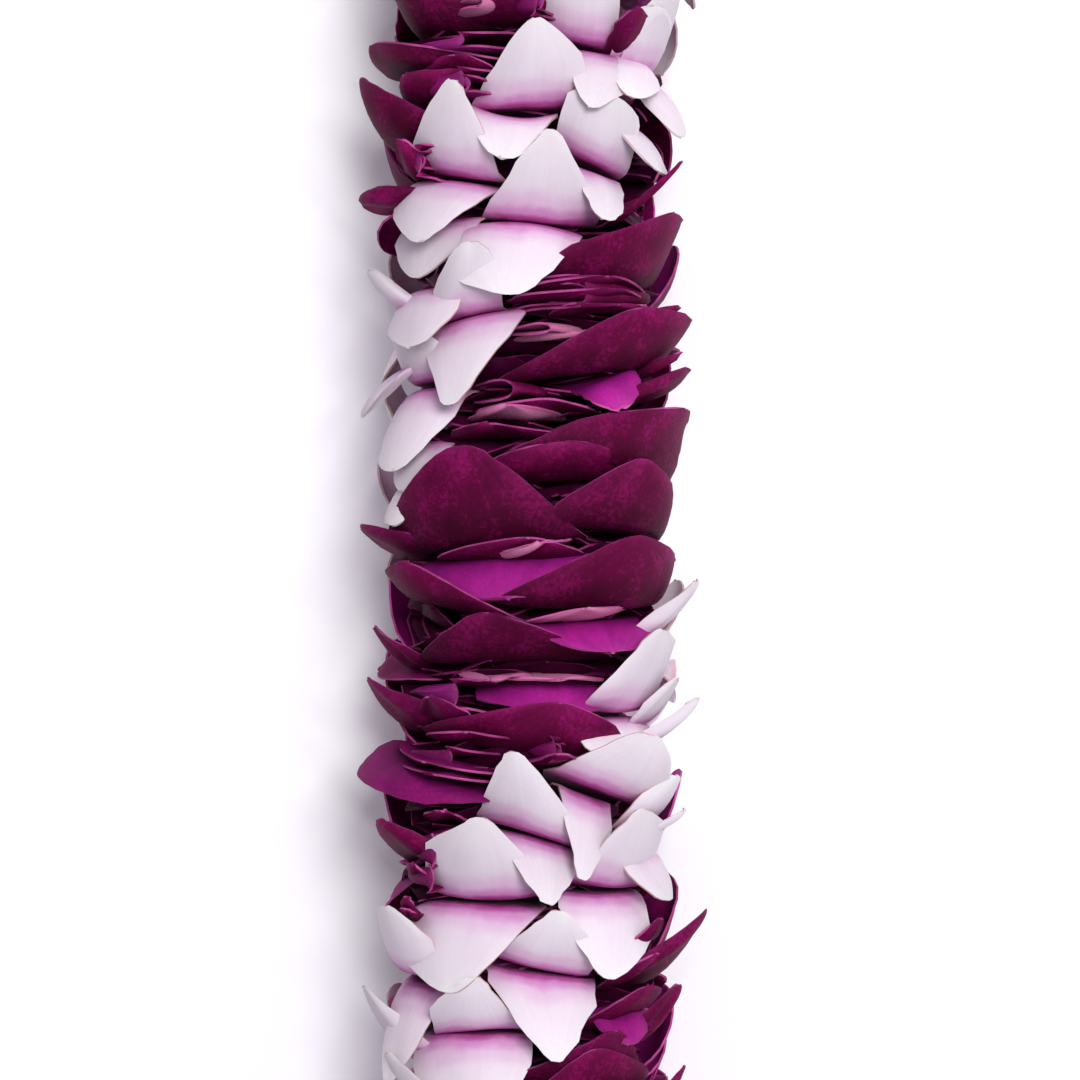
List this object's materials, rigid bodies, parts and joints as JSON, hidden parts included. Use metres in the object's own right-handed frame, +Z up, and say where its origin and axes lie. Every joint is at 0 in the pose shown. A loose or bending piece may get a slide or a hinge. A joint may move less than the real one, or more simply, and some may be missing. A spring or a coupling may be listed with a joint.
{
  "type": "flower lei",
  "caption": "Fresh orchid lei: folded purple blossoms strung tight into a thick closed loop, with a white stripe winding round it, laid out long.",
  "frame": {"origin": "middle of the loop, on the surface that the lei lies on", "axes": "+Z up from that surface; +Y along the loop's long way, away from the knot; +X across it"},
  "size_m": [0.2156, 0.4394, 0.0533],
  "materials": {
    "cotton_thread": "twisted matt cotton string",
    "white_petal": "fresh petal: velvety lilac white, purple at the heart, thin tan edge",
    "purple_petal": "fresh petal: velvety dark wine purple, brighter magenta inside, pale pink edge"
  },
  "bodies": {
    "root": {"thread": "cotton_thread", "white_blossoms_01": "white_petal", "white_blossoms_02": "white_petal", "white_blossoms_03": "white_petal", "white_blossoms_04": "white_petal", "white_blossoms_05": "white_petal", "white_blossoms_06": "white_petal", "white_blossoms_07": "white_petal", "white_blossoms_08": "white_petal", "white_blossoms_09": "white_petal", "white_blossoms_10": "white_petal", "white_blossoms_11": "white_petal", "white_blossoms_12": "white_petal", "white_blossoms_13": "white_petal", "white_blossoms_14": "white_petal", "white_blossoms_15": "white_petal", "white_blossoms_16": "white_petal", "white_blossoms_17": "white_petal", "white_blossoms_18": "white_petal", "white_blossoms_19": "white_petal", "white_blossoms_20": "white_petal", "white_blossoms_21": "white_petal", "white_blossoms_22": "white_petal", "white_blossoms_23": "white_petal", "white_blossoms_24": "white_petal", "purple_blossoms_01": "purple_petal", "purple_blossoms_02": "purple_petal", "purple_blossoms_03": "purple_petal", "purple_blossoms_04": "purple_petal", "purple_blossoms_05": "purple_petal", "purple_blossoms_06": "purple_petal", "purple_blossoms_07": "purple_petal", "purple_blossoms_08": "purple_petal", "purple_blossoms_09": "purple_petal", "purple_blossoms_10": "purple_petal", "purple_blossoms_11": "purple_petal", "purple_blossoms_12": "purple_petal", "purple_blossoms_13": "purple_petal", "purple_blossoms_14": "purple_petal", "purple_blossoms_15": "purple_petal", "purple_blossoms_16": "purple_petal", "purple_blossoms_17": "purple_petal", "purple_blossoms_18": "purple_petal", "purple_blossoms_19": "purple_petal", "purple_blossoms_20": "purple_petal", "purple_blossoms_21": "purple_petal", "purple_blossoms_22": "purple_petal", "purple_blossoms_23": "purple_petal", "purple_blossoms_24": "purple_petal"}
  },
  "joints": []
}
